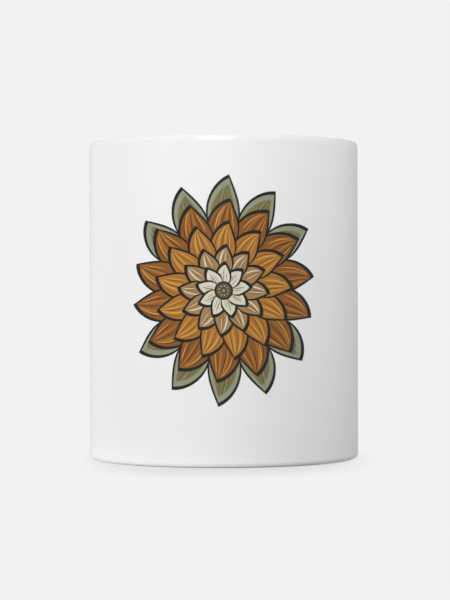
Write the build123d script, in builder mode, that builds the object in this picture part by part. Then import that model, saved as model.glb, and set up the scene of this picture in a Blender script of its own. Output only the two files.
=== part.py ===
from build123d import *
import os

# A straight-sided ceramic drinking mug: a fired clay body and a loop handle joined with slip, a glaze
# over everything but the foot ring, and a printed flower in eight inks on the side away from the handle.
# Millimetres, +Z up. The origin is the centre of the foot ring's flat face, on the mug's own axis.
# The printed side faces -Y and the handle points along +Y.

# Mug, measured over its glaze
mug_diameter = 82.0
mug_height = 96.0
glaze_thickness = 0.3

# Clay of the body
wall_thickness = 3.6
floor_thickness = 4.5
lip_outer_radius = 0.9
lip_inner_radius = 2.2
inside_floor_radius = 9.0
base_edge_radius = 1.2

# Foot ring, the only clay left without glaze
foot_inset = 2.4
foot_ring_width = 3.0
foot_ring_height = 0.15
foot_recess = 1.6
foot_ring_round = 0.3
bare_margin = 0.5

# Handle: upper root below the lip, lower root above the table, how far its line stands out from the
# wall, its section at the waist, and how deep its line starts inside the wall
handle_drop = 18.0
handle_bottom = 24.0
handle_reach = 28.0
handle_width = 13.0
handle_thickness = 8.6
handle_overrun = 8.0

# Joints between handle and wall
slip_thickness = 0.5
score_depth = 0.3
joint_radius = 4.0
seat_margin = 1.2

# Print: its middle above the mug's mid height, thickness of an ink film, width of a black line, and the
# area of the smallest spot that prints
print_rise = 3.0
film_thickness = 0.06
line_width = 0.5
smallest_spot = 0.4

# Flower: radii of each ring of petals at root and tip, half width, and sideways bend of the tip
eye_radius = 2.2
cream_petal_root = 1.5
cream_petal_tip = 7.4
cream_petal_half_width = 1.8
cream_petal_bend = 0.5
tan_petal_root = 4.5
tan_petal_tip = 12.4
tan_petal_half_width = 2.5
tan_petal_bend = 0.9
front_petal_root = 8.0
front_petal_tip = 19.2
front_petal_half_width = 3.4
front_petal_bend = 1.6
back_petal_root = 12.5
back_petal_tip = 25.5
back_petal_half_width = 4.3
back_petal_bend = 2.0

# Leaves: radii at root and at the three kinds of tip, half width, bend and pale edge
leaf_root = 15.0
upright_leaf_tip = 32.3
middle_leaf_tip = 31.2
slanting_leaf_tip = 29.4
leaf_half_width = 4.4
leaf_bend = 1.6
leaf_edge_width = 0.8

# Counts, angles in degrees from straight up, and shares
cream_petal_count = 9
tan_petal_count = 12
front_petal_count = 13
back_petal_count = 14
middle_leaf_angle = 25.0
slanting_leaf_angle = 51.0
handle_section_count = 15
full_turn = 360.0
half_turn = 180.0
lip_limit_share = 0.96
tip_growth_share = 2.2

# The handle's line from upper to lower root: share of its reach, share of the height between the roots
handle_line_shares = (
    (0.0, 1.0),
    (0.4, 1.0),
    (0.87, 0.85),
    (1.0, 0.56),
    (0.87, 0.2),
    (0.4, 0.0),
    (0.0, 0.0),
)

# The handle's section along its line: share of the way, share of the width, share of the thickness
handle_section_shares = (
    (0.0, 1.2, 1.15),
    (0.15, 1.2, 1.15),
    (0.35, 1.03, 1.02),
    (0.5, 1.0, 1.0),
    (0.7, 1.0, 1.0),
    (0.85, 1.1, 1.06),
    (1.0, 1.1, 1.06),
)

# A petal's two edges: share of the half width, share of the bend, share of the way from root to tip
left_edge_shares = ((-0.35, 0.0, 0.0), (-1.0, -0.1, 0.42), (-0.78, 0.3, 0.76), (0.0, 1.0, 1.0))
right_edge_shares = ((0.0, 1.0, 1.0), (0.62, 0.2, 0.76), (1.0, -0.1, 0.42), (0.35, 0.0, 0.0))

mug_radius = mug_diameter / 2
clay_radius = mug_radius - glaze_thickness
clay_height = mug_height - glaze_thickness
inner_radius = clay_radius - wall_thickness
ring_outer_radius = mug_radius - foot_inset
ring_inner_radius = ring_outer_radius - foot_ring_width
base_clay_height = foot_ring_height + glaze_thickness
recess_clay_height = foot_recess + glaze_thickness
floor_clay_height = recess_clay_height + floor_thickness
mid_floor_height = recess_clay_height + floor_thickness / 2
lip_share = min(1, wall_thickness * lip_limit_share / (lip_outer_radius + lip_inner_radius))
lip_outer_round = lip_outer_radius * lip_share
lip_inner_round = lip_inner_radius * lip_share
crest_radius = (clay_radius - lip_outer_round + inner_radius + lip_inner_round) / 2
root_radius = clay_radius - handle_overrun
handle_top = mug_height - handle_drop
print_height = mug_height / 2 + print_rise

print_plane = Plane(origin=(0, 0, print_height), x_dir=(1, 0, 0), z_dir=(0, -1, 0))

# Where the leaves point, uppermost leaf first: angle from straight up and radius at the tip
leaf_places = (
    (0, upright_leaf_tip),
    (middle_leaf_angle, middle_leaf_tip),
    (slanting_leaf_angle, slanting_leaf_tip),
    (half_turn - slanting_leaf_angle, slanting_leaf_tip),
    (half_turn - middle_leaf_angle, middle_leaf_tip),
    (half_turn, upright_leaf_tip),
    (half_turn + middle_leaf_angle, middle_leaf_tip),
    (half_turn + slanting_leaf_angle, slanting_leaf_tip),
    (full_turn - slanting_leaf_angle, slanting_leaf_tip),
    (full_turn - middle_leaf_angle, middle_leaf_tip),
)


def finish(piece, name):
    piece.label = name
    export_step(piece, f"parts/{name}.step")
    print(name, "solids", len(piece.solids()), "volume", round(piece.volume, 1))


os.makedirs("parts", exist_ok=True)

# Half section of the clay body: foot ring, rounded base edge, wall, lip, inside and floor
with BuildSketch(Plane.XZ) as clay_section:
    with BuildLine():
        Polyline(
            (0, recess_clay_height),
            (ring_inner_radius, recess_clay_height),
            (ring_inner_radius, 0),
            (ring_outer_radius, 0),
            (ring_outer_radius, base_clay_height),
            (clay_radius, base_clay_height),
            (clay_radius, clay_height),
            (inner_radius, clay_height),
            (inner_radius, floor_clay_height),
            (0, floor_clay_height),
            close=True,
        )
    make_face()
    fillet(clay_section.vertices().group_by(Axis.Y)[0], foot_ring_round)
    for corner, radius in (
        ((clay_radius, clay_height), lip_outer_round),
        ((inner_radius, clay_height), lip_inner_round),
        ((clay_radius, base_clay_height), base_edge_radius),
        ((inner_radius, floor_clay_height), inside_floor_radius),
    ):
        fillet(clay_section.vertices().sort_by_distance(corner)[0], radius)

with BuildPart() as turned_clay:
    add(clay_section.sketch)
    revolve(axis=Axis.Z)


# The handle's line, out of the wall, down and back, square to the wall at both roots
with BuildLine(Plane.YZ) as handle_line:
    Spline(
        [
            (
                root_radius + reach_share * (handle_reach + handle_overrun),
                handle_bottom + height_share * (handle_top - handle_bottom),
            )
            for reach_share, height_share in handle_line_shares
        ],
        tangents=[(1, 0), (-1, 0)],
    )


def section_shares_at(place):
    """The handle's width and thickness shares at a share of the way along its line."""
    for (start, *low), (end, *high) in zip(handle_section_shares, handle_section_shares[1:]):
        if place <= end:
            step = (place - start) / (end - start)
            return [a + (b - a) * step for a, b in zip(low, high)]


def wall_with_handle(wall_radius, growth, blend):
    """A plain round wall with the handle standing on it, its two roots blended in."""
    path = handle_line.wires()[0]
    with BuildPart() as form:
        Cylinder(wall_radius, mug_height, align=(Align.CENTER, Align.CENTER, Align.MIN))
        for index in range(handle_section_count):
            place = index / (handle_section_count - 1)
            width_share, thickness_share = section_shares_at(place)
            with BuildSketch(Plane(origin=path @ place, x_dir=(1, 0, 0), z_dir=path % place)):
                Ellipse(
                    handle_width * width_share / 2 + growth,
                    handle_thickness * thickness_share / 2 + growth,
                )
        loft()
        walls = form.faces().filter_by(GeomType.CYLINDER).sort_by(SortBy.AREA)
        roots = [edge for hole in walls[-1].inner_wires() for edge in hole.edges()]
        fillet(roots, blend)
    return form.part


clay_form = wall_with_handle(clay_radius, 0, joint_radius)
glazed_form = wall_with_handle(mug_radius, glaze_thickness, joint_radius - glaze_thickness)

# Oval seats on the wall round the two roots, a margin wider than the blends
root_width_shares = handle_section_shares[0], handle_section_shares[-1]
with BuildPart() as seats:
    for height, (_, width_share, thickness_share) in zip((handle_top, handle_bottom), root_width_shares):
        with BuildSketch(Plane(origin=(0, 0, height), x_dir=(1, 0, 0), z_dir=(0, 1, 0))):
            Ellipse(
                handle_width * width_share / 2 + joint_radius + seat_margin,
                handle_thickness * thickness_share / 2 + joint_radius + seat_margin,
            )
    extrude(amount=mug_diameter)


def round_bar(radius):
    with BuildPart() as bar:
        Cylinder(radius, mug_height, align=(Align.CENTER, Align.CENTER, Align.MIN))
    return bar.part


scored_bar = round_bar(clay_radius - score_depth)
slipped_bar = round_bar(clay_radius + slip_thickness)
mug_bar = round_bar(mug_radius)

with BuildPart() as scoring:
    add(seats.part)
    add(scored_bar, mode=Mode.SUBTRACT)

with BuildPart() as body:
    add(turned_clay.part)
    add(scoring.part, mode=Mode.SUBTRACT)
finish(body.part, "body")

with BuildPart() as handle:
    add(clay_form)
    add(slipped_bar, mode=Mode.SUBTRACT)
finish(handle.part, "handle")

with BuildPart() as slips:
    add(clay_form)
    add(seats.part, mode=Mode.INTERSECT)
    add(scored_bar, mode=Mode.SUBTRACT)
    add(handle.part, mode=Mode.SUBTRACT)
lower, upper = slips.part.solids().sort_by(Axis.Z)
finish(upper, "upper_slip")
finish(lower, "lower_slip")

# Half section of the coat of glaze all round the clay
with BuildSketch(Plane.XZ) as coat_section:
    add(clay_section.sketch)
    offset(amount=glaze_thickness, kind=Kind.ARC)
    add(clay_section.sketch, mode=Mode.SUBTRACT)


def coat(corner_pairs):
    """The part of the coat inside the given rectangles of the half section, turned round the axis."""
    with BuildPart() as layer:
        with BuildSketch(Plane.XZ) as section:
            for (x_low, z_low), (x_high, z_high) in corner_pairs:
                with Locations((x_low, z_low)):
                    Rectangle(x_high - x_low, z_high - z_low, align=(Align.MIN, Align.MIN))
            add(coat_section.sketch, mode=Mode.INTERSECT)
        revolve(axis=Axis.Z)
    return layer.part


lining_glaze = coat([((0, mid_floor_height), (crest_radius, mug_height))])
finish(lining_glaze, "lining_glaze")

base_glaze = coat([((0, 0), (ring_inner_radius - bare_margin, mid_floor_height))])
finish(base_glaze, "base_glaze")

with BuildPart() as outer_glaze:
    add(
        coat(
            [
                ((ring_outer_radius + bare_margin, 0), (mug_radius, mid_floor_height)),
                ((crest_radius, 0), (mug_radius, mug_height)),
            ]
        )
    )
    add(seats.part, mode=Mode.SUBTRACT)
finish(outer_glaze.part, "outer_glaze")

with BuildPart() as wall_coat_keep:
    add(mug_bar)
    add(seats.part, mode=Mode.SUBTRACT)

with BuildPart() as handle_glaze:
    add(glazed_form)
    add(clay_form, mode=Mode.SUBTRACT)
    add(wall_coat_keep.part, mode=Mode.SUBTRACT)
finish(handle_glaze.part, "handle_glaze")


# The print, drawn flat as seen from in front. Each shape hides what lies under it, black line and all.
def petal(root, tip, half_width, bend, growth=0):
    """A pointed petal or leaf standing up from the flower's middle, its tip bent to the right."""
    grown_width = half_width + growth
    grown_length = tip + growth * tip_growth_share - root
    with BuildSketch() as shape:
        with BuildLine():
            for edge_shares in (left_edge_shares, right_edge_shares):
                Spline(
                    [
                        (width_share * grown_width + bend_share * bend, root + way_share * grown_length)
                        for width_share, bend_share, way_share in edge_shares
                    ]
                )
            Line(
                (right_edge_shares[-1][0] * grown_width, root),
                (left_edge_shares[0][0] * grown_width, root),
            )
        make_face()
    return shape.sketch


def disc(radius):
    with BuildSketch() as shape:
        Circle(radius)
    return shape.sketch


def turned(shape, angle):
    with BuildSketch() as result:
        add(shape, rotation=angle)
    return result.sketch


def showing(shape, cover):
    """What shows of a shape that lies under a cover."""
    with BuildSketch() as seen:
        add(shape)
        add(cover, mode=Mode.SUBTRACT)
    return seen.sketch


def joined(shapes):
    with BuildSketch() as whole:
        for shape in shapes:
            add(shape)
    return whole.sketch


def petal_ring(count, *sizes):
    """A ring of petals where each lies over the next: what shows of them, and the ring's whole shape."""
    lined = petal(*sizes, growth=line_width)
    seen = showing(petal(*sizes), turned(lined, full_turn / count))
    with BuildSketch() as ring:
        with PolarLocations(0, count):
            add(seen)
    with BuildSketch() as silhouette:
        with PolarLocations(0, count):
            add(lined)
    return ring.sketch, silhouette.sketch


petal_rings = {
    "cream_petal_ink": petal_ring(
        cream_petal_count, cream_petal_root, cream_petal_tip, cream_petal_half_width, cream_petal_bend
    ),
    "tan_petal_ink": petal_ring(
        tan_petal_count, tan_petal_root, tan_petal_tip, tan_petal_half_width, tan_petal_bend
    ),
    "front_petal_ink": petal_ring(
        front_petal_count, front_petal_root, front_petal_tip, front_petal_half_width, front_petal_bend
    ),
    "back_petal_ink": petal_ring(
        back_petal_count, back_petal_root, back_petal_tip, back_petal_half_width, back_petal_bend
    ),
}

inks = {"eye_ink": disc(eye_radius)}
covered = disc(eye_radius + line_width)
for name, (petals, silhouette) in petal_rings.items():
    inks[name] = showing(petals, covered)
    covered = joined([covered, silhouette])

leaf_middles = []
leaf_edges = []
for angle, tip in leaf_places:
    leaf_sizes = leaf_root, tip, leaf_half_width, leaf_bend
    leaf = turned(petal(*leaf_sizes), -angle)
    leaf_middle = turned(petal(*leaf_sizes, growth=-leaf_edge_width), -angle)
    leaf_middles.append(showing(leaf_middle, covered))
    leaf_edges.append(showing(showing(leaf, leaf_middle), covered))
    covered = joined([covered, turned(petal(*leaf_sizes, growth=line_width), -angle)])
inks["leaf_ink"] = joined(leaf_middles)
inks["leaf_edge_ink"] = joined(leaf_edges)

# Black line fills all that the colours leave, and spots too small to print go black with it
for name, shape in inks.items():
    inks[name] = joined([face for face in shape.faces() if face.area > smallest_spot])
inks["line_ink"] = showing(covered, joined(inks.values()))

with BuildPart() as print_shell:
    Cylinder(mug_radius + film_thickness, mug_height, align=(Align.CENTER, Align.CENTER, Align.MIN))
    add(mug_bar, mode=Mode.SUBTRACT)

# Each ink is one film on the glaze, the drawing carried straight back onto the round wall
for name, shape in inks.items():
    with BuildPart() as film:
        with BuildSketch(print_plane):
            add(shape)
        extrude(amount=mug_diameter)
        add(print_shell.part, mode=Mode.INTERSECT)
    finish(film.part, name)
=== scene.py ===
import math

import bpy
import numpy as np
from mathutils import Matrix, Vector, geometry


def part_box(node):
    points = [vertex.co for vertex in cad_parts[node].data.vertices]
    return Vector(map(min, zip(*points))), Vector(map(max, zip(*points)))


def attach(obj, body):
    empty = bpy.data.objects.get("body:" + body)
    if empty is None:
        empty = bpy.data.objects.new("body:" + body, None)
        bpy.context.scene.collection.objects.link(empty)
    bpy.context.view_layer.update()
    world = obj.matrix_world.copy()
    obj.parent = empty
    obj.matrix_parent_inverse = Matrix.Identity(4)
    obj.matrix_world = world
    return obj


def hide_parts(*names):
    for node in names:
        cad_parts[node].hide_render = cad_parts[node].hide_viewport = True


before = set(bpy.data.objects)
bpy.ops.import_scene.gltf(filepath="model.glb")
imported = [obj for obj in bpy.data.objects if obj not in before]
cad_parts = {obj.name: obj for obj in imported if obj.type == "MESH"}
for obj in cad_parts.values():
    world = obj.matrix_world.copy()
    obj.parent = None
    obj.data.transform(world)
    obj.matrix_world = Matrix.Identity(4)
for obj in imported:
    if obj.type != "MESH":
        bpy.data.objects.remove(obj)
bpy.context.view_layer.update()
mm = 0.001
print("frame loaded:", len(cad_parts), "nodes")

# The mug's own sizes, over its glaze, as the frame gives them
lowCorner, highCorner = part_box("outer_glaze")
mugRadius = highCorner.x
mugHeight = highCorner.z
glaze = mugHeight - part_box("body")[1].z
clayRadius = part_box("body")[1].x
clayHeight = mugHeight - glaze
footRise = lowCorner.z
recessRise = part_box("base_glaze")[0].z
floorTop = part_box("lining_glaze")[0].z


def deselectAll():
    if bpy.context.object and bpy.context.object.mode != "OBJECT":
        bpy.ops.object.mode_set(mode="OBJECT")
    bpy.ops.object.select_all(action="DESELECT")


def srgb(red, green, blue):
    return tuple(
        c / 12.92 if c <= 0.04045 else ((c + 0.055) / 1.055) ** 2.4 for c in (red / 255, green / 255, blue / 255)
    ) + (1,)


def startMaterial(name):
    material = bpy.data.materials.new(name)
    material.use_nodes = True
    tree = material.node_tree
    shader = tree.nodes["Principled BSDF"]
    place = tree.nodes.new("ShaderNodeTexCoord").outputs["Object"]
    return material, tree, shader, place


def noiseOn(tree, place, scale, detail=2.0):
    noise = tree.nodes.new("ShaderNodeTexNoise")
    noise.inputs["Scale"].default_value = scale
    noise.inputs["Detail"].default_value = detail
    tree.links.new(place, noise.inputs["Vector"])
    return noise.outputs["Fac"]


def rangeOf(tree, value, low, high):
    spread = tree.nodes.new("ShaderNodeMapRange")
    spread.inputs["To Min"].default_value = low
    spread.inputs["To Max"].default_value = high
    tree.links.new(value, spread.inputs["Value"])
    return spread.outputs["Result"]


def bumpOn(tree, shader, height, strength, distance):
    bump = tree.nodes.new("ShaderNodeBump")
    bump.inputs["Strength"].default_value = strength
    bump.inputs["Distance"].default_value = distance
    tree.links.new(height, bump.inputs["Height"])
    tree.links.new(bump.outputs["Normal"], shader.inputs["Normal"])


def mathOn(tree, operation, first, second):
    node = tree.nodes.new("ShaderNodeMath")
    node.operation = operation
    for socket, value in zip(node.inputs, (first, second)):
        if isinstance(value, (int, float)):
            socket.default_value = value
        else:
            tree.links.new(value, socket)
    return node.outputs["Value"]


def seenDirectly(tree, *kinds):
    # 1 for rays of these kinds, 0 for the rest
    path = tree.nodes.new("ShaderNodeLightPath")
    total = path.outputs[kinds[0]]
    for kind in kinds[1:]:
        total = mathOn(tree, "MAXIMUM", total, path.outputs[kind])
    return total


def mixColours(tree, amount, first, second):
    mix = tree.nodes.new("ShaderNodeMix")
    mix.data_type = "RGBA"
    mix.inputs["A"].default_value = first
    mix.inputs["B"].default_value = second
    tree.links.new(amount, mix.inputs["Factor"])
    return mix.outputs["Result"]


# White gloss glaze
glazeLook = dict(
    white=srgb(241, 241, 240),
    shade=srgb(238, 239, 239),
    roughLow=0.05,
    roughHigh=0.09,
    refraction=1.5,
    waveScale=38,
    waveDetail=1.0,
    waveHeight=0.00006,
    waveStrength=0.5,
    cloudScale=114,
    cloudDetail=3.0,
)


def glazeMaterial():
    material, tree, shader, place = startMaterial("whiteGlaze")
    wave = noiseOn(tree, place, glazeLook["waveScale"], glazeLook["waveDetail"])
    tree.links.new(mixColours(tree, wave, glazeLook["white"], glazeLook["shade"]), shader.inputs["Base Color"])
    cloud = noiseOn(tree, place, glazeLook["cloudScale"], glazeLook["cloudDetail"])
    tree.links.new(rangeOf(tree, cloud, glazeLook["roughLow"], glazeLook["roughHigh"]), shader.inputs["Roughness"])
    shader.inputs["IOR"].default_value = glazeLook["refraction"]
    bumpOn(tree, shader, wave, glazeLook["waveStrength"], glazeLook["waveHeight"])
    return material


# Bare fired clay of the foot ring, the handle's core and the slip
clayLook = dict(
    pale=srgb(226, 220, 208),
    dark=srgb(204, 195, 179),
    speck=srgb(150, 134, 112),
    speckScale=450,
    speckReach=(0.05, 0.12),
    speckShare=0.4,
    grainScale=900,
    grainDetail=4.0,
    grainHeight=0.00005,
    grainStrength=0.6,
    roughLow=0.55,
    roughHigh=0.8,
    slipShift=0.3,  # slip is a little darker than the body
)


def clayMaterial(name, shift=0.0):
    material, tree, shader, place = startMaterial(name)
    grain = noiseOn(tree, place, clayLook["grainScale"], clayLook["grainDetail"])
    tint = mixColours(tree, rangeOf(tree, grain, shift, 1.0), clayLook["pale"], clayLook["dark"])
    speckle = tree.nodes.new("ShaderNodeTexVoronoi")
    speckle.inputs["Scale"].default_value = clayLook["speckScale"]
    tree.links.new(place, speckle.inputs["Vector"])
    ramp = tree.nodes.new("ShaderNodeValToRGB")
    inner, outer = ramp.color_ramp.elements
    inner.position, outer.position = clayLook["speckReach"]
    inner.color = clayLook["speck"]
    tree.links.new(speckle.outputs["Distance"], ramp.inputs["Fac"])
    blend = tree.nodes.new("ShaderNodeMix")
    blend.data_type = "RGBA"
    blend.blend_type = "MULTIPLY"
    blend.inputs["Factor"].default_value = clayLook["speckShare"]
    tree.links.new(tint, blend.inputs["A"])
    tree.links.new(ramp.outputs["Color"], blend.inputs["B"])
    tree.links.new(blend.outputs["Result"], shader.inputs["Base Color"])
    tree.links.new(rangeOf(tree, grain, clayLook["roughLow"], clayLook["roughHigh"]), shader.inputs["Roughness"])
    bumpOn(tree, shader, grain, clayLook["grainStrength"], clayLook["grainHeight"])
    return material


whiteGlaze = glazeMaterial()
bareClay = clayMaterial("bareClay")
firedSlip = clayMaterial("firedSlip", clayLook["slipShift"])
print("clay and glaze materials made")


# How near points are that are picked, or merged, when a piece is made
pickReach = 0.01 * mm
mergeReach = 0.001 * mm
seamReach = 0.002 * mm


def finishPiece(piece, angle=35):
    deselectAll()
    piece.select_set(True)
    bpy.context.view_layer.objects.active = piece
    bpy.ops.object.transform_apply(location=True, rotation=True, scale=True)
    bpy.ops.object.shade_smooth_by_angle(angle=math.radians(angle))
    return piece


def dress(piece, material, slot, *nodes):
    piece.data.materials.clear()
    piece.data.materials.append(material)
    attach(piece, "root")
    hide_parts(*nodes)


def addPoint(name, place):
    # a small plane drawn together to one vertex is where every outline starts
    deselectAll()
    bpy.ops.mesh.primitive_plane_add(size=mm, location=place)
    piece = bpy.context.object
    piece.name = name
    bpy.ops.object.mode_set(mode="EDIT")
    bpy.ops.mesh.merge(type="CENTER")
    return piece


def selectNear(piece, place, reach=pickReach):
    bpy.ops.mesh.select_all(action="DESELECT")
    bpy.ops.object.mode_set(mode="OBJECT")
    for vertex in piece.data.vertices:
        vertex.select = (piece.matrix_world @ vertex.co - Vector(place)).length < reach
    bpy.ops.object.mode_set(mode="EDIT")


def turnedPiece(name, outline, steps=256, closed=True):
    # outline: (radius, height, corner radius, segments of the round)
    piece = addPoint(name, (outline[0][0], 0, outline[0][1]))
    bpy.ops.mesh.select_mode(type="VERT")
    bpy.ops.mesh.select_all(action="SELECT")
    trip = outline + outline[:1] if closed else outline
    for (startX, startZ, *_), (endX, endZ, *_) in zip(trip, trip[1:]):
        bpy.ops.mesh.extrude_region_move(
            TRANSFORM_OT_translate={"value": (endX - startX, 0, endZ - startZ)}
        )
    bpy.ops.mesh.select_all(action="SELECT")
    bpy.ops.mesh.remove_doubles(threshold=mergeReach)
    for x, z, cornerRadius, segments in outline:
        if cornerRadius:
            selectNear(piece, (x, 0, z))
            bpy.ops.mesh.bevel(offset=cornerRadius, offset_type="OFFSET", segments=segments, affect="VERTICES")
    bpy.ops.mesh.select_all(action="SELECT")
    bpy.ops.mesh.spin(steps=steps, angle=2 * math.pi, center=(0, 0, 0), axis=(0, 0, 1))
    bpy.ops.mesh.select_all(action="SELECT")
    bpy.ops.mesh.remove_doubles(threshold=seamReach)
    bpy.ops.mesh.normals_make_consistent(inside=False)
    return finishPiece(piece)


# Clay pot and the three turned coats of glaze
roundSteps = dict(edge=4, clayLip=6, clay=8, glazeBase=16, glazeLip=20, glazeFloor=24)
potSizes = dict(
    wall=3.6 * mm,
    floor=4.5 * mm,
    lipOutside=0.9 * mm,
    lipInside=2.2 * mm,
    lipAcross=0.5 * mm,  # the glazed lip falls off slowly outside, further down than across
    lipDown=2.0 * mm,
    insideRound=9 * mm,
    baseRound=1.2 * mm,
    footInset=2.4 * mm,
    footWidth=3 * mm,
    footRound=0.3 * mm,
    bareMargin=0.5 * mm,
    glazeEdgeRound=0.12 * mm,
    glazeSag=0.088 * mm,  # the outer glaze ran down a little at its lower edge, so the gap is a thin line
)
clayInner = clayRadius - potSizes["wall"]
crest = (clayRadius - potSizes["lipOutside"] + clayInner + potSizes["lipInside"]) / 2
ringOuter = mugRadius - potSizes["footInset"]
ringInner = ringOuter - potSizes["footWidth"]
clayBase = footRise + glaze
glazeLow = footRise - potSizes["glazeSag"]
clayRecess = recessRise + glaze
clayFloor = floorTop - glaze


def lipArc(across, down, steps=18):
    # a quarter of an ellipse from the top of the lip down into the wall
    arc = []
    for i in range(steps + 1):
        turn = math.pi / 2 * (1 - i / steps)
        arc.append(
            (mugRadius - across * (1 - math.cos(turn)), mugHeight - down * (1 - math.sin(turn)), 0, 0)
        )
    return arc


clayPot = turnedPiece(
    "clayPot",
    [
        (0, clayRecess, 0, 0),
        (ringInner, clayRecess, 0, 0),
        (ringInner, 0, potSizes["footRound"], roundSteps["edge"]),
        (ringOuter, 0, potSizes["footRound"], roundSteps["edge"]),
        (ringOuter, clayBase, 0, 0),
        (clayRadius, clayBase, potSizes["baseRound"], roundSteps["clay"]),
        (clayRadius, clayHeight, potSizes["lipOutside"], roundSteps["clayLip"]),
        (clayInner, clayHeight, potSizes["lipInside"], roundSteps["clayLip"]),
        (clayInner, clayFloor, potSizes["insideRound"], roundSteps["clay"]),
        (0, clayFloor, 0, 0),
    ],
    steps=192,
    closed=False,
)
dress(clayPot, bareClay, "clay", "body")

outerCoat = turnedPiece(
    "outerCoat",
    [
        (crest, mugHeight, 0, 0),
        *lipArc(potSizes["lipAcross"], potSizes["lipDown"]),
        (mugRadius, glazeLow, potSizes["baseRound"] + glaze, roundSteps["glazeBase"]),
        (ringOuter + potSizes["bareMargin"], glazeLow, potSizes["glazeEdgeRound"], roundSteps["edge"]),
        (ringOuter + potSizes["bareMargin"], clayBase, 0, 0),
        (clayRadius, clayBase, potSizes["baseRound"], roundSteps["clay"]),
        (clayRadius, clayHeight, potSizes["lipOutside"], roundSteps["clay"]),
        (crest, clayHeight, 0, 0),
    ],
)
dress(outerCoat, whiteGlaze, "glaze", "outer_glaze")

innerCoat = turnedPiece(
    "innerCoat",
    [
        (0, floorTop, 0, 0),
        (clayInner - glaze, floorTop, potSizes["insideRound"] - glaze, roundSteps["glazeFloor"]),
        (clayInner - glaze, mugHeight, potSizes["lipInside"] + glaze, roundSteps["glazeLip"]),
        (crest, mugHeight, 0, 0),
        (crest, clayHeight, 0, 0),
        (clayInner, clayHeight, potSizes["lipInside"], roundSteps["clay"]),
        (clayInner, clayFloor, potSizes["insideRound"], roundSteps["clay"]),
        (0, clayFloor, 0, 0),
    ],
    closed=False,
)
dress(innerCoat, whiteGlaze, "glaze", "lining_glaze")

recessCoat = turnedPiece(
    "recessCoat",
    [
        (0, recessRise, 0, 0),
        (ringInner - potSizes["bareMargin"], recessRise, potSizes["glazeEdgeRound"], roundSteps["edge"]),
        (ringInner - potSizes["bareMargin"], clayRecess, 0, 0),
        (0, clayRecess, 0, 0),
    ],
    closed=False,
)
dress(recessCoat, whiteGlaze, "glaze", "base_glaze")
print("turned pieces made")

# Hidden clay keeps its own shape and gets its finish
for node, material in (("handle", bareClay), ("upper_slip", firedSlip), ("lower_slip", firedSlip)):
    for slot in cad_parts[node].material_slots:
        slot.material = material


def slopesThrough(stations, values, firstSlope, lastSlope):
    # slopes of the smooth cubic curve through the values, square to the wall at both ends
    count = len(stations)
    step = np.diff(stations)
    table = np.zeros((count, count))
    right = np.zeros(values.shape)
    table[0, 0] = table[-1, -1] = 1
    right[0], right[-1] = firstSlope, lastSlope
    for i in range(1, count - 1):
        table[i, i - 1] = step[i]
        table[i, i] = 2 * (step[i - 1] + step[i])
        table[i, i + 1] = step[i - 1]
        before = (values[i] - values[i - 1]) / step[i - 1]
        after = (values[i + 1] - values[i]) / step[i]
        right[i] = 3 * (step[i] * before + step[i - 1] * after)
    return np.linalg.solve(table, right)


def curvePoints(stations, values, slopes, where):
    span = np.clip(np.searchsorted(stations, where, side="right") - 1, 0, len(stations) - 2)
    step = np.diff(stations)[span][:, None]
    u = (where - stations[span])[:, None] / step
    return (
        values[span] * (1 + 2 * u) * (1 - u) ** 2
        + slopes[span] * step * u * (1 - u) ** 2
        + values[span + 1] * u**2 * (3 - 2 * u)
        + slopes[span + 1] * step * u**2 * (u - 1)
    )


# Glazed loop handle, its two roots blended into the wall
loop = dict(
    topRoot=mugHeight - 18 * mm,
    bottomRoot=24 * mm,
    reach=27.99 * mm,
    startInside=8 * mm,
    width=13 * mm,
    thickness=8.6 * mm,
    rootBlend=3.7 * mm,
    buried=0.15 * mm,
    around=64,
    along=88,
    blendRings=14,
    settle=9 * mm,
    softenOver=9,
    lineSteps=4000,
    aheadStep=0.02 * mm,
    pulls=(1.23, 2.948),  # how far the line keeps straight out of the wall, top and bottom
    line=((0, 1), (0.4, 1), (0.87, 0.85), (1, 0.56), (0.87, 0.2), (0.4, 0), (0, 0)),
    # place along the handle, then its width and its thickness there as shares of those above
    sections=(
        (0, 1.2, 1.15),
        (0.15, 1.2, 1.15),
        (0.35, 1.03, 1.02),
        (0.5, 1, 1),
        (0.7, 1, 1),
        (0.85, 1.1, 1.06),
        (1, 1.1, 1.06),
    ),
)


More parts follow.
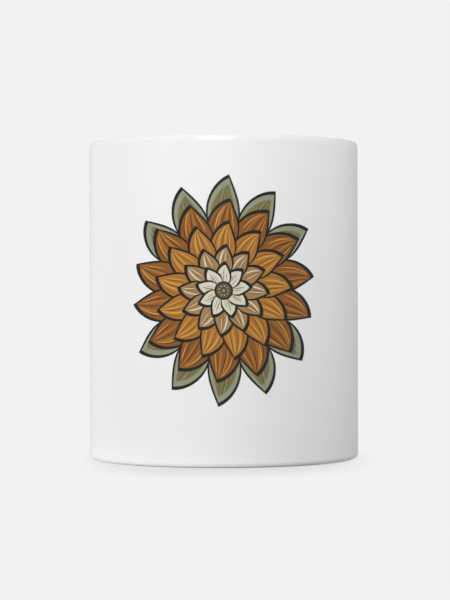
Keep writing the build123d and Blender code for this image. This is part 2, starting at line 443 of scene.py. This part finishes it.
def handleRings():
    lineStart = clayRadius - loop["startInside"]
    rise = loop["topRoot"] - loop["bottomRoot"]
    marks = np.array(
        [
            (lineStart + out * (loop["reach"] + loop["startInside"]), loop["bottomRoot"] + up * rise)
            for out, up in loop["line"]
        ]
    )
    stations = np.concatenate(([0], np.cumsum(np.linalg.norm(np.diff(marks, axis=0), axis=1))))
    slopes = slopesThrough(stations, marks, (loop["pulls"][0], 0), (-loop["pulls"][1], 0))
    fine = curvePoints(stations, marks, slopes, np.linspace(0, stations[-1], loop["lineSteps"]))
    length = np.concatenate(([0], np.cumsum(np.linalg.norm(np.diff(fine, axis=0), axis=1))))
    half = len(fine) // 2
    theta = np.linspace(math.pi / 2, 0, loop["blendRings"])
    stand = loop["rootBlend"] * (1 - np.sin(theta))
    flare = loop["rootBlend"] * (1 - np.cos(theta))
    stand = np.concatenate(([-loop["buried"]], stand))
    flare = np.concatenate(([loop["rootBlend"]], flare))
    first = np.interp(mugRadius + stand, fine[:half, 0], length[:half])
    last = np.interp(mugRadius + stand, fine[half:, 0][::-1], length[half:][::-1])
    middle = np.linspace(first[-1], last[-1], loop["along"])[1:-1]
    travel = np.concatenate((first, middle, last[::-1]))
    flares = np.concatenate((flare, np.zeros(len(middle)), flare[::-1]))
    centre = np.stack([np.interp(travel, length, fine[:, i]) for i in (0, 1)], axis=1)
    before, after = (
        np.stack([np.interp(travel + step, length, fine[:, i]) for i in (0, 1)], axis=1)
        for step in (-loop["aheadStep"], loop["aheadStep"])
    )
    way = (after - before) / np.linalg.norm(after - before, axis=1)[:, None]
    places, wide, thick = (np.array(column, float) for column in zip(*loop["sections"]))
    share = travel / length[-1]
    wide = np.interp(share, places, wide) * loop["width"] / 2 + glaze
    thick = np.interp(share, places, thick) * loop["thickness"] / 2 + glaze
    # the widths change evenly from place to place, and a running mean takes the corners off
    soften = np.ones(loop["softenOver"]) / loop["softenOver"]
    spare = loop["softenOver"] // 2
    wide, thick = (np.convolve(np.pad(v, spare, mode="edge"), soften, "valid") for v in (wide, thick))
    turn = np.linspace(0, 2 * math.pi, loop["around"] + 1)
    rings = np.zeros((len(travel), len(turn), 3))
    for i in range(len(travel)):
        outX = thick[i] * np.cos(turn)
        outN = wide[i] * np.sin(turn)
        size = np.hypot(outX, outN)
        x = wide[i] * np.cos(turn) + flares[i] * outX / size
        n = thick[i] * np.sin(turn) + flares[i] * outN / size
        # near the wall each ring stands upright and curves with it, so that its foot lies on the wall all round
        follow = np.clip(1 - (centre[i, 0] - mugRadius - loop["rootBlend"]) / loop["settle"], 0, 1)
        onRound = np.sqrt(centre[i, 0] ** 2 - x**2) - centre[i, 0]
        y = centre[i, 0] - (1 - follow) * way[i, 1] * n + follow * onRound
        upright = way[i, 0] if follow == 0 else (1 - follow) * way[i, 0] + follow / way[i, 0]
        z = centre[i, 1] + upright * n
        rings[i] = np.stack((x, y, z), axis=1)
    return rings


rings = handleRings()
deselectAll()
bpy.ops.mesh.primitive_grid_add(
    x_subdivisions=loop["around"], y_subdivisions=len(rings) - 1, size=2, location=(0, 0, 0)
)
handleCoat = bpy.context.object
handleCoat.name = "handleCoat"
handleCoat.data.vertices.foreach_set("co", rings.reshape(-1))
bpy.ops.object.mode_set(mode="EDIT")
bpy.ops.mesh.select_all(action="SELECT")
bpy.ops.mesh.remove_doubles(threshold=mergeReach)
bpy.ops.mesh.normals_make_consistent(inside=False)
bpy.ops.object.mode_set(mode="OBJECT")
wallOfCoat = handleCoat.modifiers.new("coat", "SOLIDIFY")
wallOfCoat.thickness = glaze
wallOfCoat.offset = -1
bpy.ops.object.modifier_apply(modifier="coat")
finishPiece(handleCoat)
dress(handleCoat, whiteGlaze, "glaze", "handle_glaze")
print("handle made:", len(handleCoat.data.polygons), "faces")

# Printed flower. Sizes in millimetres, drawn flat as seen from in front, then laid on the round wall
flower = dict(
    middleHeight=mugHeight / 2 + 3 * mm,
    lineWidth=0.5,
    lineLength=2.2,
    edgeSteps=16,
    bandWidth=1.25,
    filmTop=0.055 * mm,
    filmDepth=0.08 * mm,
    wander=0.035,
    wanderStart=2,
    wanderWidth=4,
    seed=7,
    strokeTaper=0.6,
    eyeRadius=2.2,
    middleDot=0.34,
    seedDot=0.24,
    seedRing=1.35,
    seeds=9,
    halfAcross=27,
    halfUp=34,
    tieReach=1e-5,
    leftShares=((-0.35, 0, 0), (-1, -0.1, 0.42), (-0.78, 0.3, 0.76), (0, 1, 1)),
    rightShares=((0.35, 0, 0), (1, -0.1, 0.42), (0.62, 0.2, 0.76), (0, 1, 1)),
)

# Sizes of a petal: root, tip, half width, bend. Its strokes: ink, place across it, start and end along it, width
flowerRings = (
    dict(
        ink="cream",
        count=9,
        sizes=(1.5, 7.4, 1.8, 0.5),
        strokes=(("tan", 0.5, 0.1, 0.78, 0.34), ("eye", 0.3, 0.2, 0.62, 0.14), ("eye", 0.7, 0.2, 0.62, 0.14)),
    ),
    dict(
        ink="tan",
        count=12,
        sizes=(4.5, 12.4, 2.5, 0.9),
        strokes=(
            ("cream", 0.32, 0.3, 0.9, 0.42),
            ("back", 0.52, 0.2, 0.93, 0.2),
            ("back", 0.74, 0.2, 0.82, 0.17),
            ("cream", 0.63, 0.35, 0.88, 0.2),
        ),
    ),
    dict(
        ink="front",
        count=13,
        sizes=(8.0, 19.2, 3.4, 1.6),
        strokes=(
            ("gold", 0.28, 0.3, 0.93, 0.5),
            ("gold", 0.56, 0.25, 0.95, 0.42),
            ("gold", 0.8, 0.3, 0.86, 0.34),
            ("brown", 0.15, 0.3, 0.84, 0.2),
            ("brown", 0.42, 0.2, 0.95, 0.24),
            ("brown", 0.68, 0.25, 0.92, 0.22),
        ),
    ),
    dict(
        ink="back",
        count=14,
        sizes=(12.5, 25.5, 4.3, 2.0),
        strokes=(
            ("gold", 0.22, 0.35, 0.9, 0.36),
            ("front", 0.35, 0.3, 0.94, 0.5),
            ("front", 0.62, 0.3, 0.95, 0.55),
            ("gold", 0.83, 0.4, 0.86, 0.26),
            ("line", 0.14, 0.35, 0.82, 0.16),
            ("line", 0.48, 0.25, 0.96, 0.22),
            ("line", 0.73, 0.3, 0.9, 0.18),
        ),
    ),
)
leafStrokes = (
    ("eye", 0.5, 0.2, 0.93, 0.26),
    ("eye", 0.34, 0.45, 0.84, 0.14),
    ("eye", 0.66, 0.45, 0.84, 0.14),
    ("edge", 0.42, 0.5, 0.9, 0.2),
)
leafSizes = dict(root=15.0, halfWidth=4.4, bend=1.6, edge=0.8)
# turn in degrees, tip
leafPlaces = (
    (0, 32.3),
    (25, 31.2),
    (51, 29.4),
    (129, 29.4),
    (155, 31.2),
    (180, 32.3),
    (205, 31.2),
    (231, 29.4),
    (309, 29.4),
    (335, 31.2),
)


def throughFour(marks, steps):
    # the smooth curve through four points
    marks = np.array(marks)
    reached = np.concatenate(([0], np.cumsum(np.linalg.norm(np.diff(marks, axis=0), axis=1))))
    where = np.linspace(0, reached[-1], steps)
    return np.stack([np.polyval(np.polyfit(reached, marks[:, i], 3), where) for i in (0, 1)], axis=1)


def petalEdges(root, tip, halfWidth, bend, growth=0.0):
    length = tip + growth * flower["lineLength"] - root
    return [
        throughFour(
            [(across * (halfWidth + growth) + lean * bend, root + way * length) for across, lean, way in shares],
            flower["edgeSteps"],
        )
        for shares in (flower["leftShares"], flower["rightShares"])
    ]


def turned(points, angle):
    c, s = math.cos(angle), math.sin(angle)
    return points @ np.array(((c, s), (-s, c)))


def petalOutline(*sizes):
    left, right = petalEdges(*sizes)
    return np.concatenate((right, left[::-1][1:]))


def strokeOutline(sizes, across, start, end, width, points=9):
    left, right = petalEdges(*sizes)
    middle = left * (1 - across) + right * across
    reached = np.linspace(0, 1, len(middle))
    where = np.linspace(start, end, points)
    line = np.stack([np.interp(where, reached, middle[:, i]) for i in (0, 1)], axis=1)
    ahead = np.gradient(line, axis=0)
    side = np.stack((ahead[:, 1], -ahead[:, 0]), axis=1) / np.linalg.norm(ahead, axis=1)[:, None]
    half = width / 2 * np.sin(np.linspace(0, math.pi, points)) ** flower["strokeTaper"]
    half[0] = half[-1] = 0
    return np.concatenate((line + side * half[:, None], (line - side * half[:, None])[::-1][1:-1]))


def disc(radius, middle=(0, 0), points=40):
    turn = np.linspace(0, 2 * math.pi, points, endpoint=False)
    return np.stack((middle[0] + radius * np.cos(turn), middle[1] + radius * np.sin(turn)), axis=1)


def flowerShapes():
    # every shape as (layer, place in its ring, rank in its petal, ink, outline), the top layer first
    random = np.random.default_rng(flower["seed"])
    shapes = [
        (0, 0, 0, "line", disc(flower["eyeRadius"] + flower["lineWidth"])),
        (0, 0, 1, "eye", disc(flower["eyeRadius"])),
        (0, 0, 2, "gold", disc(flower["middleDot"], points=14)),
    ]
    for k in range(flower["seeds"]):
        around = k * 2 * math.pi / flower["seeds"]
        middle = (flower["seedRing"] * math.cos(around), flower["seedRing"] * math.sin(around))
        shapes.append((0, 0, 2, "gold", disc(flower["seedDot"], middle, 12)))

    def addPetal(layer, place, sizes, angle, fills, strokes):
        shapes.append((layer, place, 0, "line", turned(petalOutline(*sizes, flower["lineWidth"]), angle)))
        for rank, (ink, growth) in enumerate(fills, 1):
            shapes.append((layer, place, rank, ink, turned(petalOutline(*sizes, growth), angle)))
        for rank, (ink, across, start, end, width) in enumerate(strokes, 3):
            shift = random.uniform(-1, 1, 4) * flower["wander"]
            start += shift[1] * flower["wanderStart"]
            width *= 1 + shift[3] * flower["wanderWidth"]
            outline = strokeOutline(sizes, across + shift[0], start, end + shift[2], width)
            shapes.append((layer, place, rank, ink, turned(outline, angle)))

    for layer, ring in enumerate(flowerRings, 1):
        for k in range(ring["count"]):
            angle = k * 2 * math.pi / ring["count"]
            addPetal(layer, k, ring["sizes"], angle, ((ring["ink"], 0),), ring["strokes"])
    for layer, (degrees, tip) in enumerate(leafPlaces, len(flowerRings) + 1):
        sizes = (leafSizes["root"], tip, leafSizes["halfWidth"], leafSizes["bend"])
        fills = (("edge", 0), ("leaf", -leafSizes["edge"]))
        addPetal(layer, 0, sizes, -math.radians(degrees), fills, leafStrokes)
    return shapes


def topInk(shapes, covering):
    # the uppermost petal over a spot, and in it the uppermost ink; in a ring each petal lies over its neighbour
    layer = min(shapes[i][0] for i in covering)
    here = [shapes[i] for i in covering if shapes[i][0] == layer]
    places = {shape[1] for shape in here}
    if 1 <= layer <= len(flowerRings) and len(places) > 1:
        count = flowerRings[layer - 1]["count"]
        places = {k for k in places if (k + 1) % count not in places}
    top = max((shape for shape in here if shape[1] in places), key=lambda shape: (shape[1], shape[2]))
    return top[3]


def flowerInks():
    shapes = flowerShapes()
    points = [Vector(point) for shape in shapes for point in shape[4]]
    rounds = []
    count = 0
    for shape in shapes:
        rounds.append(list(range(count, count + len(shape[4]))))
        count += len(shape[4])
    # upright lines cut the flat drawing into bands, so that it can follow the round wall
    bands = []
    for x in np.arange(-flower["halfAcross"], flower["halfAcross"], flower["bandWidth"]):
        points += [Vector((x, -flower["halfUp"])), Vector((x, flower["halfUp"]))]
        bands.append((count, count + 1))
        count += 2
    spots, _, faces, _, _, owners = geometry.delaunay_2d_cdt(points, bands, rounds, 0, flower["tieReach"])
    byInk = {}
    for face, covering in zip(faces, owners):
        if covering:
            byInk.setdefault(topInk(shapes, covering), []).append(face)
    return [tuple(spot) for spot in spots], byInk


# Printing inks: colour, and the deeper tone that clouds it
inkLook = dict(
    cream=(srgb(222, 220, 205), srgb(206, 201, 178)),
    tan=(srgb(168, 134, 86), srgb(152, 117, 70)),
    front=(srgb(178, 119, 40), srgb(164, 104, 28)),
    back=(srgb(144, 88, 20), srgb(128, 74, 12)),
    leaf=(srgb(130, 119, 74), srgb(112, 102, 60)),
    edge=(srgb(152, 157, 132), srgb(136, 141, 114)),
    eye=(srgb(89, 83, 67), srgb(74, 69, 54)),
    line=(srgb(16, 16, 11), srgb(10, 10, 7)),
    gold=(srgb(207, 157, 77), srgb(196, 144, 62)),
    brown=(srgb(118, 68, 12), srgb(100, 56, 8)),
)
inkFinish = dict(
    cloudScale=260,
    cloudDetail=3.0,
    grainScale=2600,
    grainDetail=2.0,
    grainHeight=0.000005,
    grainStrength=0.15,
    roughLow=0.16,
    roughHigh=0.26,
    refraction=1.5,
)


def inkMaterial(name, colour, deeper):
    material, tree, shader, place = startMaterial(name)
    cloud = noiseOn(tree, place, inkFinish["cloudScale"], inkFinish["cloudDetail"])
    tree.links.new(mixColours(tree, cloud, colour, deeper), shader.inputs["Base Color"])
    grain = noiseOn(tree, place, inkFinish["grainScale"], inkFinish["grainDetail"])
    rough = rangeOf(tree, grain, inkFinish["roughLow"], inkFinish["roughHigh"])
    tree.links.new(rough, shader.inputs["Roughness"])
    shader.inputs["IOR"].default_value = inkFinish["refraction"]
    bumpOn(tree, shader, grain, inkFinish["grainStrength"], inkFinish["grainHeight"])
    return material


# ink: piece, slot, CAD node it stands for
inkPieces = dict(
    cream=("creamPetals", "cream_petal_ink", "cream_petal_ink"),
    tan=("tanPetals", "tan_petal_ink", "tan_petal_ink"),
    front=("frontPetals", "front_petal_ink", "front_petal_ink"),
    back=("backPetals", "back_petal_ink", "back_petal_ink"),
    leaf=("leafMiddles", "leaf_ink", "leaf_ink"),
    edge=("leafEdges", "leaf_edge_ink", "leaf_edge_ink"),
    eye=("flowerEye", "eye_ink", "eye_ink"),
    line=("blackLines", "line_ink", "line_ink"),
    gold=("goldStrokes", "front_petal_ink", None),
    brown=("brownStrokes", "back_petal_ink", None),
)

spots, facesByInk = flowerInks()
filmRadius = mugRadius + flower["filmTop"]
onWall = [
    (x * mm, -math.sqrt(filmRadius**2 - (x * mm) ** 2), flower["middleHeight"] + y * mm) for x, y in spots
]
for ink, (name, slot, node) in inkPieces.items():
    used = sorted({i for face in facesByInk[ink] for i in face})
    place = {old: new for new, old in enumerate(used)}
    mesh = bpy.data.meshes.new(name)
    mesh.from_pydata([onWall[i] for i in used], [], [[place[i] for i in face] for face in facesByInk[ink]])
    film = bpy.data.objects.new(name, mesh)
    bpy.context.scene.collection.objects.link(film)
    deselectAll()
    film.select_set(True)
    bpy.context.view_layer.objects.active = film
    thickness = film.modifiers.new("film", "SOLIDIFY")
    thickness.thickness = flower["filmDepth"]
    thickness.offset = -1
    bpy.ops.object.modifier_apply(modifier="film")
    finishPiece(film)
    material = inkMaterial(ink + "Ink", *inkLook[ink])
    dress(film, material, slot, *([node] if node else []))
    print(name, len(film.data.polygons), "faces")
print("flower printed")

# Camera level with the middle of the mug, as the photograph's upright edges and equal curves show
view = dict(
    mugCentreColumn=223.8,
    imageWidth=450,
    imageHeight=600,
    focalPixels=2104,
    distance=0.645,
    lean=math.radians(0.14),  # the photograph's own slight turn
    height=0.0483,
    sensor=36.0,
)
sideStep = (view["imageWidth"] / 2 - view["mugCentreColumn"]) / view["focalPixels"] * view["distance"]
bpy.ops.object.camera_add(
    location=(sideStep, -view["distance"], view["height"]), rotation=(math.pi / 2, view["lean"], 0)
)
camera = bpy.context.object
camera.data.sensor_width = view["sensor"]
camera.data.lens = view["sensor"] * view["focalPixels"] / view["imageHeight"]
camera.data.clip_start = 0.01
bpy.context.scene.camera = camera

# Pale backdrop, a floor that fades into it, and soft lights
backdrop = dict(colour=srgb(242, 242, 242), ambient=0.56, overheadDrop=0.4, behindLeft=0.86)
world = bpy.data.worlds.new("paleStudio")
bpy.context.scene.world = world
world.use_nodes = True
tree = world.node_tree
surround = tree.nodes["Background"]
surround.inputs["Color"].default_value = (1, 1, 1, 1)
# the room is a little darker overhead, and brighter low down behind the mug at the left
direction = tree.nodes.new("ShaderNodeSeparateXYZ")
tree.links.new(tree.nodes.new("ShaderNodeTexCoord").outputs["Generated"], direction.inputs["Vector"])
right, behind, above = (direction.outputs[axis] for axis in "XYZ")
overhead = mathOn(tree, "MAXIMUM", above, 0)
darker = mathOn(tree, "MULTIPLY", overhead, backdrop["ambient"] * backdrop["overheadDrop"])
even = mathOn(tree, "SUBTRACT", backdrop["ambient"], darker)
left = mathOn(tree, "MAXIMUM", mathOn(tree, "MULTIPLY", right, -backdrop["behindLeft"]), 0)
behindLeft = mathOn(tree, "MULTIPLY", left, mathOn(tree, "MAXIMUM", behind, 0))
lowLeft = mathOn(tree, "MULTIPLY", behindLeft, mathOn(tree, "SUBTRACT", 1, overhead))
tree.links.new(mathOn(tree, "ADD", even, lowLeft), surround.inputs["Strength"])
seen = tree.nodes.new("ShaderNodeBackground")
seen.inputs["Color"].default_value = backdrop["colour"]


choose = tree.nodes.new("ShaderNodeMixShader")
showing = seenDirectly(tree, "Is Camera Ray", "Is Transmission Ray")
tree.links.new(showing, choose.inputs["Fac"])
tree.links.new(surround.outputs["Background"], choose.inputs[1])
tree.links.new(seen.outputs["Background"], choose.inputs[2])
tree.links.new(choose.outputs["Shader"], tree.nodes["World Output"].inputs["Surface"])

# The floor shows only round the foot, in an oval that fades out, and the backdrop carries on from there
floorLook = dict(
    radius=0.6,
    colour=srgb(234, 234, 234),
    # painted shade: light bouncing off the floor takes a darker copy of the floor colour than the camera sees
    paintedBounce=srgb(172, 172, 172),
    # painted light: a brighter bounce colour close round the foot, round a middle a little to the left
    paintedLightNearFoot=srgb(238, 238, 238),
    paintedLightMiddle=(-0.004, 0, 0),
    paintedLightReach=(0.038, 0.046),
    acrossReach=0.048,
    depthReach=0.082,
    ovalPower=3,  # above 2, so that the oval is a little square
    solidShare=0.35,
)
deselectAll()
bpy.ops.mesh.primitive_circle_add(vertices=96, radius=floorLook["radius"], fill_type="NGON", location=(0, 0, 0))
floor = bpy.context.object
floor.name = "studioFloor"
material, tree, shader, place = startMaterial("paleFloor")
shader.inputs["Base Color"].default_value = floorLook["colour"]
shader.inputs["Roughness"].default_value = 1.0
shader.inputs["Specular IOR Level"].default_value = 0.0
split = tree.nodes.new("ShaderNodeSeparateXYZ")
tree.links.new(place, split.inputs["Vector"])
powers = []
for axis, reach in (("X", floorLook["acrossReach"]), ("Y", floorLook["depthReach"])):
    share = mathOn(tree, "DIVIDE", mathOn(tree, "ABSOLUTE", split.outputs[axis], 0), reach)
    powers.append(mathOn(tree, "POWER", share, floorLook["ovalPower"]))
oval = mathOn(tree, "POWER", mathOn(tree, "ADD", *powers), 1 / floorLook["ovalPower"])
fade = tree.nodes.new("ShaderNodeMapRange")
fade.interpolation_type = "SMOOTHSTEP"
fade.inputs["From Min"].default_value = floorLook["solidShare"]
tree.links.new(oval, fade.inputs["Value"])
clear = tree.nodes.new("ShaderNodeBsdfTransparent")
fading = tree.nodes.new("ShaderNodeMixShader")
tree.links.new(fade.outputs["Result"], fading.inputs["Fac"])
tree.links.new(shader.outputs["BSDF"], fading.inputs[1])
tree.links.new(clear.outputs["BSDF"], fading.inputs[2])
paintedBounce = tree.nodes.new("ShaderNodeBsdfDiffuse")
# painted light: the colour that bounced light takes from the floor is painted brighter close round the foot, round
# a middle shifted to the left, and painted darker further out
distance = tree.nodes.new("ShaderNodeVectorMath")
distance.operation = "DISTANCE"
distance.inputs[1].default_value = floorLook["paintedLightMiddle"]
tree.links.new(place, distance.inputs[0])
paintedLightFade = tree.nodes.new("ShaderNodeMapRange")
paintedLightFade.inputs["From Min"].default_value, paintedLightFade.inputs["From Max"].default_value = floorLook["paintedLightReach"]
tree.links.new(distance.outputs["Value"], paintedLightFade.inputs["Value"])
paintedBounceColour = mixColours(tree, paintedLightFade.outputs["Result"], floorLook["paintedLightNearFoot"], floorLook["paintedBounce"])
tree.links.new(paintedBounceColour, paintedBounce.inputs["Color"])
either = tree.nodes.new("ShaderNodeMixShader")
tree.links.new(seenDirectly(tree, "Is Camera Ray", "Is Glossy Ray"), either.inputs["Fac"])
tree.links.new(paintedBounce.outputs["BSDF"], either.inputs[1])
tree.links.new(fading.outputs["Shader"], either.inputs[2])
tree.links.new(either.outputs["Shader"], tree.nodes["Material Output"].inputs["Surface"])
floor.data.materials.append(material)


def softLamp(name, turn, rise, away, size, power, gloss=False, aim=(0, 0, 0.05)):
    # placed by its angle round the mug, 0 in front and 90 at the left, and its angle above the table
    turn, rise = math.radians(turn), math.radians(rise)
    place = Vector(aim) + away * Vector(
        (-math.sin(turn) * math.cos(rise), -math.cos(turn) * math.cos(rise), math.sin(rise))
    )
    deselectAll()
    bpy.ops.object.light_add(type="AREA", location=place)
    lamp = bpy.context.object
    lamp.name = name
    lamp.data.shape = "RECTANGLE"
    lamp.data.size, lamp.data.size_y = size
    lamp.data.energy = power
    lamp.rotation_euler = (Vector(aim) - place).to_track_quat("-Z", "Y").to_euler()
    lamp.visible_glossy = gloss
    lamp.visible_camera = False
    return lamp


# Only the front lamp shows in the glaze, as the short bright bar on the lip
lamps = dict(
    frontLamp=dict(turn=6, rise=22, away=1.2, size=(0.6, 0.5), power=2.5, gloss=True),
    leftLamp=dict(turn=60, rise=12, away=1.2, size=(0.7, 0.4), power=6.4),
    rightLamp=dict(turn=-40, rise=35, away=0.35, size=(0.2, 0.2), power=0.37),
    backLamp=dict(turn=180, rise=15, away=1.2, size=(0.7, 0.4), power=2.5),
)
for name, lamp in lamps.items():
    softLamp(name, **lamp)
print("studio made")

bpy.context.scene.view_settings.view_transform = "Standard"
